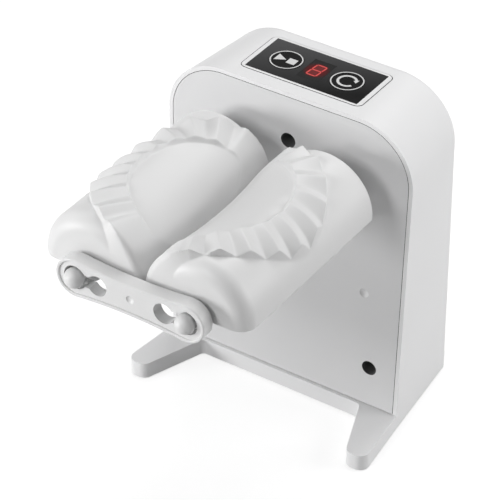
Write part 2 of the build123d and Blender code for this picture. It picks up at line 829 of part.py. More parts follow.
with BuildPart() as mould_right:
    with BuildSketch(upright(mould_rear)):
        with Locations((axis_half_spacing, axis_height)):
            Circle(barrel_radius)
        with Locations((axis_half_spacing, axis_height - flat_drop + barrel_radius)):
            Rectangle(4 * barrel_radius, 2 * barrel_radius, mode=Mode.INTERSECT)
    extrude(amount=mould_rear - mould_front)
    front_arc = mould_right.faces().sort_by(Axis.Y)[0].edges().filter_by(GeomType.CIRCLE)
    fillet(front_arc, dome_radius)
    add(crimp_band.part)
    add(bowl_cutter.part, mode=Mode.SUBTRACT)
    add(groove_cutters, mode=Mode.SUBTRACT)
    add(mould_hollow.part, mode=Mode.SUBTRACT)
    with BuildSketch(upright(mould_rear - mould_wall / 2)):
        with Locations((axis_half_spacing, axis_height)):
            Circle(spine_radius)
    extrude(amount=mould_rear - mould_front - mould_wall)
    with BuildSketch(upright(-hub_gap)):
        with Locations((axis_half_spacing, axis_height)):
            Circle(hub_radius)
    extrude(amount=-mould_rear - hub_gap + mould_wall)
    with BuildSketch(upright(mould_front + mould_wall)):
        with Locations((axis_half_spacing, axis_height)):
            Circle(stub_radius)
    extrude(amount=mould_front + mould_wall - ball_front)
    with Locations((axis_half_spacing, panel_y + ball_front, axis_height)):
        Sphere(ball_radius)
    with BuildSketch(upright(-hub_gap)):
        with Locations((axis_half_spacing, axis_height)):
            RegularPolygon(shaft_hex_flats / 2 + hex_gap, 6, major_radius=False)
    extrude(amount=shaft_hex_length + hex_gap, mode=Mode.SUBTRACT)
pieces["mould_right"] = mould_right

with BuildPart() as mould_left:
    mirror(mould_right.part, about=Plane.YZ)
pieces["mould_left"] = mould_left

# Link bar: a rimmed, waisted plate with two keyholes, and a seat round each ball
with BuildPart() as link_bar:
    with BuildSketch(upright(bar_back)):
        with Locations((0, axis_height)):
            add(bar_outline(0))
    extrude(amount=bar_thickness)
    with BuildSketch(upright(bar_back - bar_thickness)):
        with Locations((0, axis_height)):
            add(bar_outline(bar_rim_width))
    extrude(amount=-bar_rim_height, mode=Mode.SUBTRACT)
    rim_edges = link_bar.faces().sort_by(Axis.Y)[0].edges()
    fillet(rim_edges, bar_edge_radius)
    with BuildSketch(upright(bar_back)):
        for side in sides:
            with Locations((side * keyhole_offset, axis_height)):
                Circle(keyhole_radius)
            with Locations((side * axis_half_spacing, axis_height)):
                Circle(stub_radius + slot_gap)
            with Locations((side * (keyhole_offset + axis_half_spacing) / 2, axis_height)):
                Rectangle(axis_half_spacing - keyhole_offset, 2 * (stub_radius + slot_gap))
    extrude(amount=bar_thickness, mode=Mode.SUBTRACT)
    with BuildSketch(upright(plate_front)):
        with Locations(*axis_places):
            Circle(seat_radius)
    extrude(amount=-(seat_floor - plate_front), mode=Mode.SUBTRACT)
    with Locations((0, panel_y + plate_front + dimple_depth - bar_dimple_sphere, axis_height)):
        Sphere(bar_dimple_sphere, mode=Mode.SUBTRACT)
pieces["link_bar"] = link_bar

# Control panel: bezel held under the shell's roof, label, buttons, window
flange_top = housing_top - shell_wall - seam_gap
flange_bottom = flange_top - bezel_flange
bezel_top = housing_top + bezel_proud
label_bottom = bezel_top - label_thickness
board_top = flange_bottom - board_drop
buttons_at = [(side * button_offset, bezel_center) for side in sides]
board_screw_x = board_width / 2 - boss_radius
board_screw_y = board_depth / 2 - boss_radius
board_screws_at = [
    (side * board_screw_x, bezel_center + end * board_screw_y) for side in sides for end in sides
]
with BuildPart() as control_bezel:
    with BuildSketch(level(flange_bottom)):
        with Locations((0, bezel_center)):
            RectangleRounded(bezel_width + 2 * bezel_side_lip, bezel_depth + 2 * bezel_end_lip, bezel_corner)
    extrude(amount=bezel_flange)
    with BuildSketch(level(flange_top)):
        with Locations((0, bezel_center)):
            RectangleRounded(
                bezel_width - 2 * bezel_gap, bezel_depth - 2 * bezel_gap, bezel_corner - bezel_gap
            )
    extrude(amount=bezel_top - flange_top)
    chamfer(control_bezel.faces().sort_by(Axis.Z)[-1].edges(), bezel_proud / 2)
    with BuildSketch(level(label_bottom)):
        with Locations((0, bezel_center)):
            Rectangle(label_width + 2 * label_gap, label_depth + 2 * label_gap)
    extrude(amount=2 * label_thickness, mode=Mode.SUBTRACT)
    with BuildSketch(level(board_top)):
        with Locations(*board_screws_at):
            Circle(screw_head_radius)
    extrude(amount=flange_bottom - board_top)
    with BuildSketch(level(board_top)):
        with Locations(*board_screws_at):
            Circle(screw_radius + running_gap)
    extrude(amount=board_drop, mode=Mode.SUBTRACT)
    with BuildSketch(level(flange_bottom)):
        with Locations(*buttons_at):
            Circle(button_radius + button_gap)
        with Locations((0, bezel_center)):
            Rectangle(display_width + 2 * label_gap, display_depth + 2 * label_gap)
    extrude(amount=2 * shell_wall, mode=Mode.SUBTRACT)
pieces["control_bezel"] = control_bezel

with BuildPart() as control_label:
    with BuildSketch(level(label_bottom)):
        with Locations((0, bezel_center)):
            Rectangle(label_width, label_depth)
            Rectangle(display_width + 2 * label_gap, display_depth + 2 * label_gap, mode=Mode.SUBTRACT)
        with Locations(*buttons_at):
            Circle(button_radius + button_gap, mode=Mode.SUBTRACT)
    extrude(amount=label_thickness)
pieces["control_label"] = control_label

with BuildPart() as display_window:
    with BuildSketch(level(board_top + display_height)):
        with Locations((0, bezel_center)):
            Rectangle(display_width, display_depth)
    extrude(amount=bezel_top - board_top - display_height)
pieces["display_window"] = display_window

with BuildPart() as display_module:
    with BuildSketch(level(board_top)):
        with Locations((0, bezel_center)):
            Rectangle(display_width - 2 * label_gap, display_depth - 2 * label_gap)
    extrude(amount=display_height)
pieces["display_module"] = display_module

for (x, y), word in zip(buttons_at, ("left", "right")):
    with BuildPart() as button:
        with BuildSketch(level(flange_bottom - button_flange)):
            with Locations((x, y)):
                Circle(button_flange_radius)
        extrude(amount=button_flange)
        with BuildSketch(level(flange_bottom)):
            with Locations((x, y)):
                Circle(button_radius)
        extrude(amount=bezel_top + button_proud - flange_bottom)
    pieces[f"button_{word}"] = button

with BuildPart() as control_board:
    with BuildSketch(level(board_top)):
        with Locations((0, bezel_center)):
            Rectangle(board_width, board_depth)
        with Locations(*board_screws_at):
            Circle(screw_radius + screw_gap, mode=Mode.SUBTRACT)
    extrude(amount=-board_thickness)
pieces["control_board"] = control_board

with BuildPart() as board_screws:
    with BuildSketch(level(board_top - board_thickness)):
        with Locations(*board_screws_at):
            Circle(screw_head_radius)
    extrude(amount=-screw_head)
    with BuildSketch(level(board_top - board_thickness)):
        with Locations(*board_screws_at):
            Circle(screw_radius)
    extrude(amount=board_thickness + board_drop - screw_gap)
pieces["board_screws"] = board_screws

plunger_height = flange_bottom - button_flange - button_travel - switch_margin - board_top - switch_height
with BuildPart() as key_switches:
    with BuildSketch(level(board_top)):
        with Locations(*buttons_at):
            Rectangle(switch_size, switch_size)
    extrude(amount=switch_height)
    with BuildSketch(level(board_top + switch_height)):
        with Locations(*buttons_at):
            Circle(plunger_radius)
    extrude(amount=plunger_height)
pieces["key_switches"] = key_switches

# Battery cells in their tray on the base
tray_base = pad_proud + base_floor
cell_rows = [tray_front + tray_wall + cell_gap + cell_radius]
cell_rows.append(cell_rows[0] + 2 * cell_radius + cell_gap)
tray_depth = 2 * tray_wall + 3 * cell_gap + 4 * cell_radius
with BuildPart() as battery_tray:
    with BuildSketch(level(tray_base)):
        with Locations((0, tray_front + tray_depth / 2)):
            Rectangle(cell_length + 2 * (cell_gap + tray_wall), tray_depth)
    extrude(amount=tray_height)
    with BuildSketch(level(tray_base + tray_floor)):
        with Locations((0, tray_front + tray_depth / 2)):
            Rectangle(cell_length + 2 * cell_gap, tray_depth - 2 * tray_wall)
    extrude(amount=tray_height, mode=Mode.SUBTRACT)
pieces["battery_tray"] = battery_tray

with BuildPart() as battery_cells:
    with BuildSketch(Plane.YZ.offset(-cell_length / 2)):
        with Locations(*[(panel_y + row, tray_base + tray_floor + cell_radius) for row in cell_rows]):
            Circle(cell_radius)
    extrude(amount=cell_length)
pieces["battery_cells"] = battery_cells

# Charging socket in the rear cover's slot, soldered to its own small board
port_rear = depth_at_floor - port_level * rear_slope - seam_gap
with BuildPart() as charge_port:
    with BuildSketch(upright(port_rear)):
        with Locations((0, port_level)):
            SlotOverall(port_width, port_height)
    extrude(amount=port_length)
    with BuildSketch(upright(port_rear)):
        with Locations((0, port_level)):
            SlotOverall(port_width - 2 * port_wall, port_height - 2 * port_wall)
            SlotOverall(tongue_width, tongue_height, mode=Mode.SUBTRACT)
    extrude(amount=port_length - port_wall, mode=Mode.SUBTRACT)
pieces["charge_port"] = charge_port

with BuildPart() as charging_board:
    with BuildSketch(level(port_level - port_height / 2)):
        with Locations((0, port_rear - panel_thickness - seam_gap - charge_board_depth / 2)):
            Rectangle(charge_board_width, charge_board_depth)
    extrude(amount=-board_thickness)
pieces["charging_board"] = charging_board

for name, piece in pieces.items():
    piece.part.label = name
    export_step(piece.part, f"parts/{name}.step")
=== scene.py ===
import json
from math import asin, cos, pi, radians, sin, sqrt

import bmesh
import bpy
import numpy as np
from mathutils import Matrix, Vector


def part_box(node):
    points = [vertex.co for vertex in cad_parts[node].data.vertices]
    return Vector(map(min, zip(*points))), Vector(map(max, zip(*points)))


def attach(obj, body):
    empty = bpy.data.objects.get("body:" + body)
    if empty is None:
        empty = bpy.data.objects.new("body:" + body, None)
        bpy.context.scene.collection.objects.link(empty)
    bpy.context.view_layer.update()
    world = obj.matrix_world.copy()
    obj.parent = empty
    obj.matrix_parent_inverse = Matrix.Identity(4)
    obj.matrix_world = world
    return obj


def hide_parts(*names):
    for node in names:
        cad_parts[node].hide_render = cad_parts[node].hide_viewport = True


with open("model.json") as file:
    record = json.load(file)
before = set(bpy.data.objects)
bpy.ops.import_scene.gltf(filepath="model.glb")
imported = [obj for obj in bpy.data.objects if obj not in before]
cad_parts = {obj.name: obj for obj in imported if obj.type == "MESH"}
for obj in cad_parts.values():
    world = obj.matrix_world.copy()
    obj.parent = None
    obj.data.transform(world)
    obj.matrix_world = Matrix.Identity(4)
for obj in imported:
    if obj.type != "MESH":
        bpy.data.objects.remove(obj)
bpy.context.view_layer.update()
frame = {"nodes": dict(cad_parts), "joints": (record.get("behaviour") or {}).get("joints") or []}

mm = 0.001
nodes = frame["nodes"]
joints = {joint["name"]: joint for joint in frame["joints"]}

# Places taken from the frame
axis_x, _, axis_z = joints["right_mould_turn"]["pos_m"]
panel_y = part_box("front_panel")[0][1]
label_low, label_high = (Vector(corner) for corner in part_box("control_label"))
window_low, window_high = (Vector(corner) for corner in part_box("display_window"))
digit_x = (window_low.x + window_high.x) / 2
digit_y = (window_low.y + window_high.y) / 2
button_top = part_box("button_left")[1][2]

# Mould form, in millimetres and degrees. The wrapper is a disc laid over both moulds, so the bowl and
# the crimp band end on circles in plan about the middle of the nip, and the pleats run out from it
nip_distance = axis_x / mm
mould_rear = 16.0
mould_front = 132.0
mould_middle = (mould_rear + mould_front) / 2
barrel_radius = 28.2
band_radius = 32.3
flat_drop = 2.2
dome_radius = 9.0
wall = 3.4
hollow_radius = 24.2
hub_radius = 12.0
hub_start = 0.8
spine_radius = 8.5
stub_radius = 3.0
ball_radius = 5.4
ball_front = 142.0
rib_thickness = 2.4
rib_sink = 0.3
rib_count = 2
band_edge = 58.6
band_corner = 4.0
bowl_edge = {"right": 43.3, "left": 40.2}
bowl_wall_run = 1.8
bowl_lip_start = 3.8
bowl_lip_end = 5.6
bowl_floor = 27.4
bowl_rise = 3.0
bowl_nip_rise = 3.8
bowl_nip_rise_end = 75
bowl_far_rise = 2.6
bowl_far_rise_start = 70
bowl_far_rise_end = 112
pleat_pitch = 15.0
pleat_end = 80.0
pleat_end_front = 71.0
pleat_fade = 9.0
pleat_depth_at_bowl = 1.2
pleat_depth_at_edge = 3.6
crest_sharpness = 0.975
wall_blend = 0.32
wall_fillet = 0.9
least_cosine = 0.02
crest_turn = {"right": -5.5, "left": 2.0}

# Mesh of the moulds: rows along the depth, closer over the last stretch at the front, and steps round
# the axis. A radius that depends on itself is worked out again in a few settling rounds
row_step = 0.42
front_run = 2.4
front_rows = 12
angle_steps = 420
inner_steps = 48
rib_steps = 40
settle_rounds = 3


def smooth(edge_low, edge_high, value):
    """Smooth step from 0 to 1 between two edges, for arrays."""
    share = np.clip((value - edge_low) / (edge_high - edge_low), 0, 1)
    return share * share * (3 - 2 * share)


def fillet_max(first, second, reach):
    """The larger of two arrays, with a fillet where they cross."""
    share = np.clip(0.5 + 0.5 * (first - second) / reach, 0, 1)
    return first * share + second * (1 - share) + reach * share * (1 - share)


def corner_drop(radius, distance):
    """How far a rounded corner falls away at a distance from the end face."""
    inward = np.maximum(radius - distance, 0)
    return radius - np.sqrt(np.maximum(radius**2 - inward**2, 0))


def pleated_top(word, angle, along):
    """Radius of the folded crimp band, and its distance in plan from the middle of the nip."""
    crest = crest_turn[word]
    rim = bowl_edge[word]
    cosine = np.cos(np.radians(angle))
    top = np.full(angle.shape, band_radius)
    for _ in range(settle_rounds):
        across = nip_distance - top * cosine
        distance = np.hypot(across, along)
        turn = np.degrees(np.arctan2(along, across))
        swing = crest_sharpness * np.cos(2 * pi * (turn - crest) / pleat_pitch)
        fold = 0.5 - np.arcsin(swing) / (2 * asin(crest_sharpness))
        outward = np.clip((distance - rim) / (band_edge - rim), 0, 1)
        depth = pleat_depth_at_bowl + (pleat_depth_at_edge - pleat_depth_at_bowl) * outward
        end = np.where(turn < 0, pleat_end_front, pleat_end)
        top = band_radius - depth * fold * (1 - smooth(-pleat_fade, 0, np.abs(turn) - end))
    return top, distance


def mould_surface(word, angle, depth):
    """Radius of the mould's outside, in millimetres, at an angle from the nip and a depth in front."""
    rim = bowl_edge[word]
    along = mould_middle - depth
    barrel = barrel_radius - corner_drop(dome_radius, mould_front - depth)
    top, distance = pleated_top(word, angle, along)
    top = np.minimum(top, band_radius - corner_drop(band_corner, mould_front - depth))
    floor = bowl_floor + bowl_rise * (along / rim) ** 2
    floor = floor + bowl_nip_rise * (1 - smooth(0, bowl_nip_rise_end, angle))
    floor = floor + bowl_far_rise * smooth(bowl_far_rise_start, bowl_far_rise_end, angle)
    in_bowl = np.sin(pi / 2 * np.clip((rim - distance) / bowl_wall_run, 0, 1))
    in_bowl = in_bowl * smooth(bowl_lip_start, bowl_lip_end, angle)
    band = top + (np.minimum(floor, top) - top) * in_bowl
    edge_reach = np.sqrt(np.maximum(band_edge**2 - along**2, 0))
    upright_wall = (edge_reach - nip_distance) / np.maximum(-np.cos(np.radians(angle)), least_cosine)
    beyond = fillet_max(np.minimum(upright_wall, top), barrel, wall_fillet)
    outside = smooth(band_edge - wall_blend, band_edge + wall_blend, distance)
    return band * (1 - outside) + beyond * outside


def new_object(name, mesh):
    """Adds a mesh to the scene as a new object."""
    obj = bpy.data.objects.new(name, mesh)
    bpy.context.scene.collection.objects.link(obj)
    return obj


def from_bmesh(name, bm, smooth_angle=radians(35)):
    """Smooth-shaded object from a bmesh, with creases sharper than an angle kept sharp."""
    bmesh.ops.recalc_face_normals(bm, faces=bm.faces)
    for face in bm.faces:
        face.smooth = True
    for edge in bm.edges:
        if len(edge.link_faces) == 2 and edge.calc_face_angle(0) > smooth_angle:
            edge.smooth = False
    mesh = bpy.data.meshes.new(name)
    bm.to_mesh(mesh)
    bm.free()
    return new_object(name, mesh)


def mould_point(side, angle, depth, radius):
    """Point of a mould in the row frame, in metres. The angle starts at the nip."""
    x = side * (axis_x - radius * mm * cos(radians(angle)))
    return (x, panel_y - depth * mm, axis_z + radius * mm * sin(radians(angle)))


def mould_depths():
    """Depths of the rows of a mould's mesh, closer together at the front, where the dome turns in."""
    depths = list(np.arange(mould_rear, mould_front - front_run, row_step))
    depths += [
        mould_front - front_run * (1 - sin(pi / 2 * step / front_rows)) for step in range(front_rows + 1)
    ]
    depths += [mould_rear + wall, mould_front - wall]
    return sorted(set(round(float(depth), 4) for depth in depths))


def mould_row(word, depth):
    """Angles and radii of one row of a mould's outside, from edge to edge of its flat underside."""
    flat_angle = np.zeros(2)
    for _ in range(settle_rounds):
        ends = np.array([-flat_angle[0], 180 + flat_angle[1]])
        edge = mould_surface(word, ends, np.array([depth, depth]))
        flat_angle = np.degrees(np.arcsin(flat_drop / edge))
    share = np.linspace(0, 1, angle_steps + 1)
    angles = -flat_angle[0] + share * (180 + flat_angle[0] + flat_angle[1])
    return angles, mould_surface(word, angles, np.full(angles.shape, depth))


def mould_shell(side, word):
    """Half barrel with its bowl and pleated band, open underneath."""
    depths = mould_depths()
    rows = [mould_row(word, depth) for depth in depths]
    bm = bmesh.new()
    grid = []
    for depth, (angles, radii) in zip(depths, rows):
        grid.append([bm.verts.new(mould_point(side, a, depth, r)) for a, r in zip(angles, radii)])
    inner_flat = sqrt(hollow_radius**2 - flat_drop**2)
    seam_margin = 0.4
    seam_near = []
    seam_far = []
    for depth, (angles, radii) in zip(depths, rows):
        y = panel_y - depth * mm
        z = axis_z - flat_drop * mm
        for seam, way, radius in ((seam_near, -1, radii[0]), (seam_far, 1, radii[-1])):
            half = min(inner_flat, sqrt(radius**2 - flat_drop**2) - seam_margin)
            seam.append(bm.verts.new((side * (axis_x + way * half * mm), y, z)))
    first_open = depths.index(round(mould_rear + wall, 4))
    last_open = depths.index(round(mould_front - wall, 4))
    for row in range(len(depths) - 1):
        low, high = grid[row], grid[row + 1]
        for column in range(angle_steps):
            bm.faces.new((low[column], low[column + 1], high[column + 1], high[column]))
        bm.faces.new((low[0], high[0], seam_near[row + 1], seam_near[row]))
        bm.faces.new((low[-1], seam_far[row], seam_far[row + 1], high[-1]))
        if row < first_open or row >= last_open:
            bm.faces.new((seam_near[row], seam_near[row + 1], seam_far[row + 1], seam_far[row]))
    bm.faces.new(grid[0] + [seam_far[0], seam_near[0]])
    bm.faces.new(list(reversed(grid[-1])) + [seam_near[-1], seam_far[-1]])
    start = -np.degrees(np.arcsin(flat_drop / hollow_radius))
    inner = []
    for row in range(first_open, last_open + 1):
        ring = [seam_near[row]]
        for step in range(1, inner_steps):
            angle = start + (180 - 2 * start) * step / inner_steps
            ring.append(bm.verts.new(mould_point(side, angle, depths[row], hollow_radius)))
        ring.append(seam_far[row])
        inner.append(ring)
    for low, high in zip(inner, inner[1:]):
        for column in range(inner_steps):
            bm.faces.new((low[column + 1], low[column], high[column], high[column + 1]))
    bm.faces.new(list(reversed(inner[0])))
    bm.faces.new(inner[-1])
    return from_bmesh(f"mould_shell_{word}", bm, radians(50))


def round_point(centre, radius, angle):
    """Point at a radius from a centre, at an angle in radians."""
    return (centre[0] + radius * cos(angle), centre[1] + radius * sin(angle))


def lathe(name, centre, profile, steps=64):
    """Closed body turned about a line along Y through a centre; the profile is (depth, radius) pairs."""
    bm = bmesh.new()
    rings = []
    for depth, radius in profile:
        ring = []
        for step in range(steps):
            x, z = round_point(centre, radius * mm, 2 * pi * step / steps)
            ring.append(bm.verts.new((x, panel_y - depth * mm, z)))
        rings.append(ring)
    for low, high in zip(rings, rings[1:]):
        for step in range(steps):
            after = (step + 1) % steps
            bm.faces.new((low[step], low[after], high[after], high[step]))
    bm.faces.new(list(reversed(rings[0])))
    bm.faces.new(rings[-1])
    return from_bmesh(name, bm)


def arc(centre, radius, start, end, steps):
    """Points of a circular arc in (depth, radius) coordinates, with angles in degrees."""
    angles = [radians(start + (end - start) * step / steps) for step in range(steps + 1)]
    return [round_point(centre, radius, angle) for angle in angles]


def mould_core(side, word):
    """Hub, spine, stub and ball of a mould, all turned about its axis."""
    edge = 0.8
    root = 1.2
    corner_steps = 6
    ball_steps = 26
    ball_end = 3
    neck_end = ball_front - sqrt(ball_radius**2 - stub_radius**2)
    profile = [(hub_start, hub_radius - edge)]
    profile += arc((hub_start + edge, hub_radius - edge), edge, 180, 90, corner_steps)
    profile += [(mould_rear + wall / 2, hub_radius), (mould_rear + wall / 2, spine_radius)]
    profile += [(mould_front - wall / 2, spine_radius), (mould_front - wall / 2, stub_radius + root)]
    profile += [(mould_front, stub_radius + root)]
    profile += arc((mould_front + root, stub_radius + root), root, 180, 270, corner_steps)[1:]
    ball_start = 180 - np.degrees(np.arcsin(stub_radius / ball_radius))
    profile += [(neck_end, stub_radius)]
    profile += arc((ball_front, 0), ball_radius, ball_start, ball_end, ball_steps)[1:]
    return lathe(f"mould_core_{word}", (side * axis_x, axis_z), profile)


def mould_ribs(side, word):
    """Half-round ribs that stiffen the hollow of a mould."""
    bm = bmesh.new()
    drop = np.degrees(np.arcsin(flat_drop / hollow_radius))
    rib_radius = hollow_radius + rib_sink
    for rib in range(rib_count):
        middle = mould_rear + (mould_front - mould_rear) * (rib + 1) / (rib_count + 1)
        rings = []
        for depth in (middle - rib_thickness / 2, middle + rib_thickness / 2):
            ring = []
            for step in range(rib_steps + 1):
                angle = -drop + (180 + 2 * drop) * step / rib_steps
                ring.append(bm.verts.new(mould_point(side, angle, depth, rib_radius)))
            rings.append(ring)
            bm.faces.new(ring)
        low, high = rings
        for step in range(rib_steps + 1):
            after = (step + 1) % (rib_steps + 1)
            bm.faces.new((low[step], low[after], high[after], high[step]))
    return from_bmesh(f"mould_ribs_{word}", bm)


def plate(name, outline, holes, bottom, top):
    """Flat plate between two heights from a closed outline, with closed holes, all (x, y) in metres."""
    bm = bmesh.new()
    for height in (bottom, top):
        edges = []
        for loop in [outline] + holes:
            verts = [bm.verts.new((x, y, height)) for x, y in loop]
            edges += [bm.edges.new((a, b)) for a, b in zip(verts, verts[1:] + verts[:1])]
        bmesh.ops.triangle_fill(bm, use_beauty=True, edges=edges)
    bm.verts.ensure_lookup_table()
    counts = [len(loop) for loop in [outline] + holes]
    total = sum(counts)
    offset = 0
    for count in counts:
        for step in range(count):
            after = (step + 1) % count
            low, high = offset + step, offset + after
            bm.faces.new((bm.verts[low], bm.verts[high], bm.verts[high + total], bm.verts[low + total]))
        offset += count
    return from_bmesh(name, bm, radians(20))


def circle(centre, radius, steps=72):
    """Closed round outline."""
    return [round_point(centre, radius, 2 * pi * step / steps) for step in range(steps)]


def node_material(name):
    """New material with its node tree and its shader."""
    material = bpy.data.materials.new(name)
    material.use_nodes = True
    tree = material.node_tree
    shader = tree.nodes["Principled BSDF"]
    return material, tree, shader


def add_noise(tree, scale, detail, name):
    """Value of an object-space noise texture."""
    place = tree.nodes.new("ShaderNodeTexCoord")
    noise = tree.nodes.new("ShaderNodeTexNoise")
    noise.name = name
    noise.inputs["Scale"].default_value = scale
    noise.inputs["Detail"].default_value = detail
    tree.links.new(place.outputs["Object"], noise.inputs["Vector"])
    return noise.outputs["Fac"]


def add_ramp(tree, value, first, last, start=0.0, end=1.0):
    """Colour that a value takes from a first colour, at the start, to a last one, at the end."""
    ramp = tree.nodes.new("ShaderNodeValToRGB")
    low, high = ramp.color_ramp.elements
    low.position = start
    low.color = (*first, 1)
    high.position = end
    high.color = (*last, 1)
    tree.links.new(value, ramp.inputs["Fac"])
    return ramp.outputs["Color"]


def add_share(tree, value, start, end):
    """Share from 0 to 1 of the way that a value has come from a start to an end."""
    way = tree.nodes.new("ShaderNodeMapRange")
    way.inputs["From Min"].default_value = start
    way.inputs["From Max"].default_value = end
    tree.links.new(value, way.inputs["Value"])
    return way.outputs["Result"]


def add_gloss(tree, value, shader, lowest, highest):
    """Lets the shader's roughness follow a value between two limits."""
    gloss = tree.nodes.new("ShaderNodeMapRange")
    gloss.inputs["To Min"].default_value = lowest
    gloss.inputs["To Max"].default_value = highest
    tree.links.new(value, gloss.inputs["Value"])
    tree.links.new(gloss.outputs["Result"], shader.inputs["Roughness"])


def moulded_plastic(name, tone, roughness, grain, grain_scale, spread=0.012, specular=0.5):
    """Moulded plastic: slight colour drift, uneven gloss and a fine moulded grain."""
    gloss_spread = 0.04
    material, tree, shader = node_material(name)
    drift = add_noise(tree, 14, 3, "colour drift")
    darker = [channel - spread for channel in tone]
    tree.links.new(add_ramp(tree, drift, darker, tone, start=0.3, end=0.7), shader.inputs["Base Color"])
    patches = add_noise(tree, 60, 2, "gloss patches")
    add_gloss(tree, patches, shader, roughness - gloss_spread, roughness + gloss_spread)
    bump = tree.nodes.new("ShaderNodeBump")
    bump.inputs["Strength"].default_value = grain
    bump.inputs["Distance"].default_value = 0.1 * mm
    tree.links.new(add_noise(tree, grain_scale, 2, "moulded grain"), bump.inputs["Height"])
    tree.links.new(bump.outputs["Normal"], shader.inputs["Normal"])
    shader.inputs["IOR"].default_value = 1.5
    shader.inputs["Specular IOR Level"].default_value = specular
    return material


def metal(name, tone, roughness, scale):
    """Plated or drawn metal with faint brushing."""
    gloss_spread = 0.06
    material, tree, shader = node_material(name)
    brushing = add_noise(tree, scale, 4, "brushing")
    darker = [channel * 0.8 for channel in tone]
    tree.links.new(add_ramp(tree, brushing, darker, tone), shader.inputs["Base Color"])
    add_gloss(tree, brushing, shader, roughness - gloss_spread, roughness + gloss_spread)
    shader.inputs["Metallic"].default_value = 1.0
    return material


def label_with_painted_sheen():
    """Black film with a painted sheen: its grey grows towards its far left corner, where the glossy
    label catches the light.
    """
    black = (0.003, 0.003, 0.003)
    # The grey end of the ramp is the painted sheen
    grey = (0.08, 0.08, 0.082)
    weight_across = 0.55
    weight_back = 0.45
    material, tree, shader = node_material("label_film_painted_sheen")
    place = tree.nodes.new("ShaderNodeTexCoord")
    split = tree.nodes.new("ShaderNodeSeparateXYZ")
    tree.links.new(place.outputs["Object"], split.inputs["Vector"])
    across = add_share(tree, split.outputs["X"], label_high.x, label_low.x)
    back = add_share(tree, split.outputs["Y"], label_low.y, label_high.y)
    weighed = tree.nodes.new("ShaderNodeMath")
    weighed.operation = "MULTIPLY"
    weighed.inputs[1].default_value = weight_back
    tree.links.new(back, weighed.inputs[0])
    both = tree.nodes.new("ShaderNodeMath")
    both.operation = "MULTIPLY_ADD"
    both.inputs[1].default_value = weight_across
    tree.links.new(across, both.inputs[0])
    tree.links.new(weighed.outputs["Value"], both.inputs[2])
    colour = add_ramp(tree, both.outputs["Value"], black, grey, start=0.15, end=0.95)
    tree.links.new(colour, shader.inputs["Base Color"])
    shader.inputs["Specular IOR Level"].default_value = 0.2
    add_gloss(tree, add_noise(tree, 90, 2, "film texture"), shader, 0.30, 0.38)
    return material


def smoked_window():
    """Black window with a painted dark red glow round the lit digit, for the digit's light spread in the
    smoked window.
    """
    painted_glow_red = (0.10, 0.006, 0.008)
    smoke = (0.02, 0.02, 0.02)
    halo_start = 4.5 * mm
    halo_end = 7.5 * mm
    material, tree, shader = node_material("smoked_window")
    place = tree.nodes.new("ShaderNodeTexCoord")
    reach = tree.nodes.new("ShaderNodeVectorMath")
    reach.operation = "DISTANCE"
    reach.inputs[1].default_value = (digit_x, digit_y, window_high.z)
    tree.links.new(place.outputs["Object"], reach.inputs[0])
    halo = add_share(tree, reach.outputs["Value"], halo_start, halo_end)
    tree.links.new(add_ramp(tree, halo, painted_glow_red, smoke), shader.inputs["Base Color"])
    shader.inputs["Roughness"].default_value = 0.35
    shader.inputs["Specular IOR Level"].default_value = 0.2
    return material


def glow(name, tone, dark, strength):
    """Lit part of the display, or a faint part whose glow is painted, with a slightly uneven glow."""
    material, tree, shader = node_material(name)
    colour = add_ramp(tree, add_noise(tree, 900, 1, "glow"), dark, tone)
    tree.links.new(colour, shader.inputs["Base Color"])
    tree.links.new(colour, shader.inputs["Emission Color"])
    shader.inputs["Emission Strength"].default_value = strength
    shader.inputs["Roughness"].default_value = 0.35
    return material


def paint(piece, material):
    """Gives every face of a piece one material."""
    piece.data.materials.clear()
    piece.data.materials.append(material)


# A plastic's numbers are its roughness, the strength and scale of its grain and, in some, how far its
# colour drifts. A metal's are its roughness and the scale of its brushing
housing_white = moulded_plastic("housing_white", (0.88, 0.88, 0.885), 0.42, 0.10, 2600)
panel_white = moulded_plastic("panel_white", (0.76, 0.76, 0.765), 0.46, 0.12, 2600)
mould_white = moulded_plastic("mould_white", (0.77, 0.77, 0.77), 0.45, 0.03, 1800, 0.008)
bar_white = moulded_plastic("bar_white", (0.76, 0.76, 0.76), 0.33, 0.05, 2000, 0.010)
inner_grey = moulded_plastic("inner_grey", (0.34, 0.34, 0.35), 0.5, 0.1, 2400)
acetal = moulded_plastic("acetal", (0.72, 0.70, 0.64), 0.36, 0.05, 2400)
soft_pad = moulded_plastic("soft_pad", (0.55, 0.55, 0.55), 0.7, 0.3, 1500)
board_green = moulded_plastic("board_green", (0.05, 0.24, 0.11), 0.4, 0.1, 1200)
cell_blue = moulded_plastic("cell_blue", (0.08, 0.24, 0.5), 0.35, 0.05, 900)
switch_black = moulded_plastic("switch_black", (0.04, 0.04, 0.04), 0.45, 0.1, 2000, 0.01)
display_red = moulded_plastic("display_red", (0.10, 0.02, 0.02), 0.4, 0.05, 1500)
plated_steel = metal("plated_steel", (0.6, 0.6, 0.61), 0.34, 320)
motor_steel = metal("motor_steel", (0.5, 0.5, 0.52), 0.4, 120)
# Dark steel for the panel screws, painted dark for the shade deep in their bores
dark_steel_for_bore_shade = metal("dark_steel_for_bore_shade", (0.03, 0.03, 0.03), 0.5, 320)
# Painted shade for the walls of the panel's screw bores
bore_painted_shade = moulded_plastic("bore_painted_shade", (0.16, 0.16, 0.16), 0.5, 0.05, 2000)
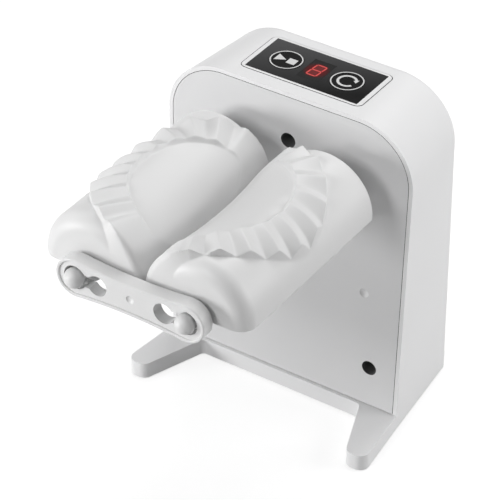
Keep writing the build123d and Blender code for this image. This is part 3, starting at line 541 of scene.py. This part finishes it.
# Painted shadow for the seams round the panel and the bezel
seam_painted_shadow = moulded_plastic("seam_painted_shadow", (0.05, 0.05, 0.05), 0.6, 0.05, 2000)
label_film_painted_sheen = label_with_painted_sheen()
key_black = moulded_plastic("key_black", (0.012, 0.012, 0.012), 0.4, 0.02, 1500, 0.008, specular=0.15)
window_film = smoked_window()
print_white = moulded_plastic("print_white", (0.72, 0.72, 0.72), 0.5, 0.05, 2000)
lit_red = glow("lit_red", (0.55, 0.07, 0.06), (0.45, 0.04, 0.04), 0.45)
# The faint cells glow though nothing lights them: a painted glow
faint_red_painted_glow = glow("faint_red_painted_glow", (0.16, 0.003, 0.005), (0.12, 0.002, 0.004), 0.1)

node_materials = {
    housing_white: ("housing_shell", "rear_cover", "base_plate", "control_bezel"),
    panel_white: ("front_panel",),
    bar_white: ("link_bar",),
    label_film_painted_sheen: ("control_label",),
    key_black: ("button_left", "button_right"),
    window_film: ("display_window",),
    display_red: ("display_module",),
    board_green: ("control_board", "charging_board"),
    switch_black: ("key_switches",),
    # The panel screws are painted dark, as shade deep in their bores
    dark_steel_for_bore_shade: ("panel_screws",),
    plated_steel: (
        "base_screws", "board_screws", "frame_screws", "motor_screws", "idler_pins",
        "drive_shaft_left", "drive_shaft_right", "motor_shaft", "charge_port",
    ),
    acetal: (
        "drive_gear_left", "drive_gear_right", "idler_gear_left", "idler_gear_right", "motor_pinion",
        "front_bush_left", "front_bush_right", "rear_bush_left", "rear_bush_right",
    ),
    inner_grey: ("gear_frame", "battery_tray"),
    motor_steel: ("motor_gearbox", "motor"),
    cell_blue: ("battery_cells",),
    soft_pad: ("foot_pads",),
}
for material, names in node_materials.items():
    for name in names:
        paint(nodes[name], material)

# The walls of the panel's screw bores are painted dark, down to the screws: painted shade deep in the
# bores
bore_reach = 5.2 * mm
bore_start = 0.6 * mm
screw_points = np.array([vertex.co for vertex in nodes["panel_screws"].data.vertices])[:, [0, 2]]
panel_mesh = nodes["front_panel"].data
panel_mesh.materials.append(bore_painted_shade)
bore_shade_index = len(panel_mesh.materials) - 1
for face in panel_mesh.polygons:
    if face.center.y > panel_y + bore_start:
        reach = np.hypot(screw_points[:, 0] - face.center.x, screw_points[:, 1] - face.center.z).min()
        if reach < bore_reach:
            face.material_index = bore_shade_index

# The edges of the panel and the bezel are painted dark, as painted shadow in their seams, so that the
# seams read as thin lines
edge_start = 0.2 * mm
edge_lean = 0.3
panel_mesh.materials.append(seam_painted_shadow)
panel_seam_shadow_index = len(panel_mesh.materials) - 1
for face in panel_mesh.polygons:
    on_edge = abs(face.normal.y) < edge_lean and face.center.y > panel_y + edge_start
    if on_edge and face.material_index != bore_shade_index:
        face.material_index = panel_seam_shadow_index
bezel_mesh = nodes["control_bezel"].data
bezel_mesh.materials.append(seam_painted_shadow)
bezel_seam_shadow_index = len(bezel_mesh.materials) - 1
for face in bezel_mesh.polygons:
    if abs(face.normal.z) < edge_lean and face.center.z < label_high.z:
        face.material_index = bezel_seam_shadow_index

# Moulds: detailed shells, cores and ribs stand for the plain solids
for side, word in ((-1, "left"), (1, "right")):
    shell = mould_shell(side, word)
    core = mould_core(side, word)
    ribs = mould_ribs(side, word)
    for piece in (shell, core, ribs):
        paint(piece, mould_white)
        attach(piece, f"{word}_drive")
    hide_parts(f"mould_{word}")

# Printed rings and plain marks on the two keys
ring_outer = 8.9 * mm
ring_inner = 8.2 * mm
print_thickness = 0.02 * mm
play_size = 3.3 * mm
play_back = play_size * 0.8
stop_half = 2.5 * mm
mark_offset = 3.4 * mm
loop_outer = 5.6 * mm
loop_inner = 4.2 * mm
loop_middle = (loop_outer + loop_inner) / 2
loop_start = radians(35)
loop_end = radians(325)
loop_steps = 48
arrow_half = 1.6 * mm
arrow_reach = radians(32)
square = ((-1, -1), (1, -1), (1, 1), (-1, 1))


def key_print(word, name, outline, holes=()):
    """Thin white print on top of a key."""
    bottom = button_top - print_thickness / 2
    piece = plate(name, outline, list(holes), bottom, button_top + print_thickness)
    paint(piece, print_white)
    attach(piece, f"{word}_key")


def loop_outline(centre):
    """Open ring of the repeat mark."""
    turns = [loop_start + (loop_end - loop_start) * step / loop_steps for step in range(loop_steps + 1)]
    outer = [round_point(centre, loop_outer, turn) for turn in turns]
    inner = [round_point(centre, loop_inner, turn) for turn in turns]
    return outer + inner[::-1]


key_centres = {}
for word in ("left", "right"):
    low, high = (Vector(corner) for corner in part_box(f"button_{word}"))
    centre = ((low.x + high.x) / 2, (low.y + high.y) / 2)
    key_centres[word] = centre
    key_print(word, f"key_ring_{word}", circle(centre, ring_outer), [circle(centre, ring_inner)])

left_x, left_y = key_centres["left"]
play = [
    (left_x - mark_offset - play_back, left_y - play_size),
    (left_x - mark_offset + play_size, left_y),
    (left_x - mark_offset - play_back, left_y + play_size),
]
key_print("left", "play_mark", play)
stop = [(left_x + mark_offset + stop_half * i, left_y + stop_half * j) for i, j in square]
key_print("left", "stop_mark", stop)

right_centre = key_centres["right"]
key_print("right", "repeat_loop", loop_outline(right_centre))
arrow = [
    round_point(right_centre, loop_middle - arrow_half, loop_start),
    round_point(right_centre, loop_middle + arrow_half, loop_start),
    round_point(right_centre, loop_middle, loop_start - arrow_reach),
]
key_print("right", "repeat_arrow", arrow)

# Seven-segment digit on the window
digit_half_width = 2.9 * mm
digit_half_height = 5.2 * mm
segment_half = 0.42 * mm
segment_gap = 0.12 * mm
cell_inset = segment_half * 1.25
digit_lean = 0.09


def display_print(name, outline, material):
    """Thin film on the window, from an outline about the digit's middle that is made to lean."""
    leaning = [(digit_x + x + y * digit_lean, digit_y + y) for x, y in outline]
    bottom = window_high.z - print_thickness / 2
    piece = plate(name, leaning, [], bottom, window_high.z + print_thickness)
    paint(piece, material)
    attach(piece, "housing")


def segment_outline(start, end):
    """One bar of the digit, pointed at both ends."""
    direction = (Vector(end) - Vector(start)).normalized()
    across = Vector((-direction.y, direction.x)) * segment_half
    inset = direction * segment_half
    a = Vector(start) + direction * segment_gap
    b = Vector(end) - direction * segment_gap
    return [a, a + inset + across, b - inset + across, b, b - inset - across, a + inset - across]


w, h = digit_half_width, digit_half_height
segments = {
    "top": ((-w, h), (w, h)),
    "upper_right": ((w, h), (w, 0)),
    "lower_right": ((w, 0), (w, -h)),
    "bottom": ((-w, -h), (w, -h)),
    "lower_left": ((-w, -h), (-w, 0)),
    "upper_left": ((-w, 0), (-w, h)),
    "middle": ((-w, 0), (w, 0)),
}
for name, (start, end) in segments.items():
    display_print(f"digit_{name}", segment_outline(start, end), lit_red)
# The cells inside the digit carry the faint painted glow
for name, middle in (("upper", h / 2), ("lower", -h / 2)):
    cell = [((w - cell_inset) * i, middle + (h / 2 - cell_inset) * j) for i, j in square]
    display_print(f"digit_cell_{name}", cell, faint_red_painted_glow)

# Studio: pale floor, soft lamps, and a background that reads white to the camera
scene = bpy.context.scene
scene.view_settings.view_transform = "Standard"

floor_half = 3.0
floor_mesh = bpy.data.meshes.new("floor")
floor_mesh.from_pydata([(floor_half * i, floor_half * j, 0) for i, j in square], [], [(0, 1, 2, 3)])
floor = new_object("floor", floor_mesh)


def floor_material():
    """Pale floor that keeps the object's shadow over a white ground."""
    floor_grey = (0.42, 0.42, 0.42)
    floor_light = (0.45, 0.45, 0.45)
    floor_glow = 0.72
    material, tree, shader = node_material("floor_pale")
    shader.inputs["Roughness"].default_value = 0.9
    shader.inputs["Specular IOR Level"].default_value = 0.0
    colour = add_ramp(tree, add_noise(tree, 3, 2, "paper tone"), floor_grey, floor_light)
    tree.links.new(colour, shader.inputs["Base Color"])
    lit = tree.nodes.new("ShaderNodeEmission")
    lit.inputs["Strength"].default_value = floor_glow
    add = tree.nodes.new("ShaderNodeAddShader")
    path = tree.nodes.new("ShaderNodeLightPath")
    seen = tree.nodes.new("ShaderNodeMath")
    seen.operation = "MAXIMUM"
    tree.links.new(path.outputs["Is Camera Ray"], seen.inputs[0])
    tree.links.new(path.outputs["Is Glossy Ray"], seen.inputs[1])
    choose = tree.nodes.new("ShaderNodeMixShader")
    output = tree.nodes["Material Output"]
    tree.links.new(shader.outputs["BSDF"], add.inputs[0])
    tree.links.new(lit.outputs["Emission"], add.inputs[1])
    tree.links.new(seen.outputs["Value"], choose.inputs["Fac"])
    tree.links.new(shader.outputs["BSDF"], choose.inputs[1])
    tree.links.new(add.outputs["Shader"], choose.inputs[2])
    tree.links.new(choose.outputs["Shader"], output.inputs["Surface"])
    return material


paint(floor, floor_material())

world = bpy.data.worlds.new("studio")
scene.world = world
world.use_nodes = True
sky = world.node_tree
ground = sky.nodes["Background"]
ground.inputs["Color"].default_value = (1, 1, 1, 1)
ground.inputs["Strength"].default_value = 0.07
white = sky.nodes.new("ShaderNodeBackground")
white.inputs["Color"].default_value = (1, 1, 1, 1)
white.inputs["Strength"].default_value = 1.0
path = sky.nodes.new("ShaderNodeLightPath")
mix = sky.nodes.new("ShaderNodeMixShader")
sky.links.new(path.outputs["Is Camera Ray"], mix.inputs["Fac"])
sky.links.new(ground.outputs["Background"], mix.inputs[1])
sky.links.new(white.outputs["Background"], mix.inputs[2])
sky.links.new(mix.outputs["Shader"], sky.nodes["World Output"].inputs["Surface"])


lamp_target = Vector((0, 0, 0.1))


def lamp(name, place, size, power):
    """Square area lamp that points at the middle of the object."""
    data = bpy.data.lights.new(name, "AREA")
    data.shape = "SQUARE"
    data.size = size
    data.energy = power
    obj = bpy.data.objects.new(name, data)
    scene.collection.objects.link(obj)
    obj.location = place
    obj.rotation_euler = (lamp_target - Vector(place)).to_track_quat("-Z", "Y").to_euler()


lamp("key", (-0.90, -0.92, 0.24), size=0.32, power=8.3)
lamp("high_key", (-0.28, -1.05, 0.85), size=0.4, power=5.6)
lamp("overhead", (-0.1, 0.50, 1.2), size=0.8, power=8.6)
lamp("side", (1.25, 0.62, 0.5), size=0.7, power=10.5)
lamp("front", (0.35, -1.4, 0.45), size=0.9, power=1.0)

# Camera at the photograph's place
camera_place = Vector((0.56101, -0.87107, 0.86464))
camera_target = Vector((0.01720, -0.02127, 0.13571))
camera_roll = radians(0.89)
focal_pixels = 2475.9
image_side = 500
sensor = 36.0

camera_data = bpy.data.cameras.new("camera")
camera_data.sensor_width = sensor
camera_data.sensor_fit = "HORIZONTAL"
camera_data.lens = focal_pixels * sensor / image_side
camera = bpy.data.objects.new("camera", camera_data)
scene.collection.objects.link(camera)
facing = (camera_target - camera_place).to_track_quat("-Z", "Y").to_matrix()
turn = Matrix.Rotation(camera_roll, 3, "Z")
camera.matrix_world = Matrix.Translation(camera_place) @ (facing @ turn).to_4x4()
scene.camera = camera
